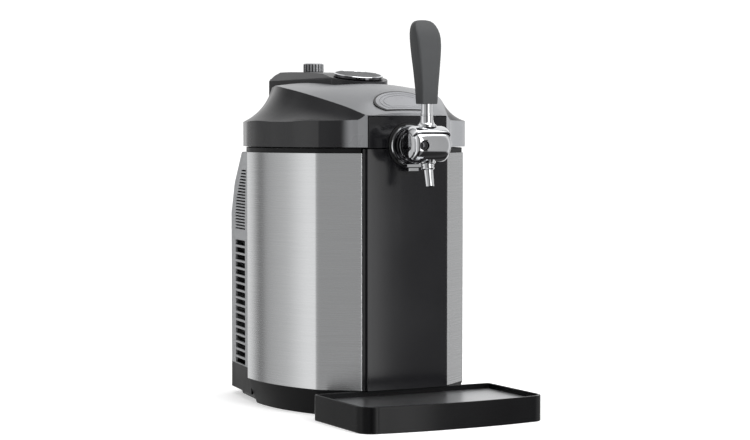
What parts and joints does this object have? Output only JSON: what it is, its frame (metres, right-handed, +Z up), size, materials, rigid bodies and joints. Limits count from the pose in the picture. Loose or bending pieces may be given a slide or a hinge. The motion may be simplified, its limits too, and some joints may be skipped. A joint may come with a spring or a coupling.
{
  "type": "mini keg beer dispenser",
  "caption": "Countertop mini keg cooler and beer dispenser: steel sides, hinged lid with gas regulator, lever tap on the front and a lift-out drip tray.",
  "frame": {"origin": "on the floor, on the axis of the keg well, on the plinth's underside", "axes": "+Z up, -Y towards the tap and tray, +X to the right seen from the front"},
  "size_m": [0.2568, 0.4313, 0.4616],
  "materials": {
    "charcoal_plastic": "satin charcoal moulding",
    "gloss_black": "polished black moulding",
    "black_plastic": "fine satin black moulding",
    "grey_plastic": "satin dark grey moulding",
    "liner_plastic": "plain grey moulding",
    "brushed_steel": "vertically brushed stainless steel",
    "satin_plate": "smooth satin steel",
    "pot_aluminium": "drawn and milled aluminium",
    "foam": "foamed in place",
    "ceramic_white": "white ceramic faces",
    "circuit_board": "green board",
    "rubber_black": "soft black rubber",
    "bright_chrome": "polished chrome plate",
    "satin_disc": "satin silver with a bright bevel",
    "knob_grey": "satin metallic grey",
    "display_lens": "smoked grey window",
    "handle_grey": "satin dark grey moulding",
    "steel_parts": "turned and stamped steel",
    "regulator_brass": "machined brass",
    "cartridge_steel": "zinc plated steel",
    "hose": "grey hose"
  },
  "bodies": {
    "body": {"base_plinth": "black_plastic", "rubber_feet": "rubber_black", "steel_side_right": "brushed_steel", "steel_side_left": "brushed_steel", "front_panel": "gloss_black", "tap_fascia": "gloss_black", "top_collar": "charcoal_plastic", "well_liner": "pot_aluminium", "foam_insulation": "foam", "rear_cover": "grey_plastic", "cover_screws": "steel_parts", "cold_block": "pot_aluminium", "peltier_module": "ceramic_white", "heat_sink": "pot_aluminium", "fan_frame": "black_plastic", "control_board": "circuit_board", "power_inlet": "black_plastic", "switch_housing": "black_plastic", "hinge_brackets": "black_plastic", "hinge_pins": "steel_parts", "tap_gasket": "rubber_black", "tap_flange": "bright_chrome", "tap_shank": "bright_chrome", "shank_nut": "bright_chrome", "tap_body": "bright_chrome", "tap_screw": "bright_chrome", "spout": "bright_chrome"},
    "lid": {"lid_shell": "charcoal_plastic", "lid_liner": "liner_plastic", "lid_seal": "rubber_black", "lid_spine": "charcoal_plastic", "latch_guide": "liner_plastic", "display_lens": "display_lens", "display_board": "circuit_board", "regulator_body": "regulator_brass", "co2_cartridge": "cartridge_steel", "keg_coupler": "regulator_brass", "gas_tube": "hose"},
    "lock": {"lock_disc": "satin_disc", "lock_spindle": "steel_parts"},
    "bolt": {"latch_bolt": "steel_parts"},
    "regulator": {"regulator_knob": "knob_grey"},
    "lever": {"lever_neck": "bright_chrome", "tap_handle": "handle_grey", "valve_spindle": "steel_parts"},
    "tab": {"release_tab": "bright_chrome"},
    "fan": {"fan_rotor": "black_plastic"},
    "switch": {"switch_rocker": "black_plastic"},
    "tray": {"drip_tray": "black_plastic"},
    "plate": {"drip_plate": "satin_plate"}
  },
  "joints": [
    {"name": "lid_hinge", "type": "hinge", "parent": "body", "child": "lid", "pos_m": [0, 0.1495, 0.322], "axis": [-1, 0, 0], "range_deg": [0, 85]},
    {"name": "lock_turn", "type": "hinge", "parent": "lid", "child": "lock", "pos_m": [0, 0.0023, 0.3987], "axis": [0, -0.165, 0.9863], "range_deg": [0, 90]},
    {"name": "bolt_slide", "type": "slide", "parent": "lid", "child": "bolt", "axis": [0, -0.9863, -0.165], "range_m": [0, 0.008]},
    {"name": "regulator_turn", "type": "hinge", "parent": "lid", "child": "regulator", "pos_m": [0, 0.128, 0.4084], "axis": [0, 0, 1], "range_deg": [0, 270]},
    {"name": "tap_lever", "type": "hinge", "parent": "body", "child": "lever", "pos_m": [0, -0.172, 0.3175], "axis": [1, 0, 0], "range_deg": [0, 45]},
    {"name": "tab_press", "type": "slide", "parent": "body", "child": "tab", "axis": [0, 0, 1], "range_m": [0, 0.002], "stiffness_N_per_m": 800, "springref_m": -0.001},
    {"name": "fan_spin", "type": "hinge", "parent": "body", "child": "fan", "pos_m": [0, 0.15, 0.15], "axis": [0, 1, 0], "continuous": true},
    {"name": "power_switch", "type": "hinge", "parent": "body", "child": "switch", "pos_m": [0.014, 0.173, 0.052], "axis": [1, 0, 0], "range_deg": [0, 14]},
    {"name": "tray_slide", "type": "slide", "parent": "body", "child": "tray", "axis": [0, -1, 0], "range_m": [0, 0.06]},
    {"name": "plate_lift", "type": "slide", "parent": "tray", "child": "plate", "axis": [0, 0, 1], "range_m": [0, 0.006]}
  ],
  "couplings": [
    {"joint": "bolt_slide", "follows": "lock_turn", "m_per_rad": 0.005093}
  ]
}
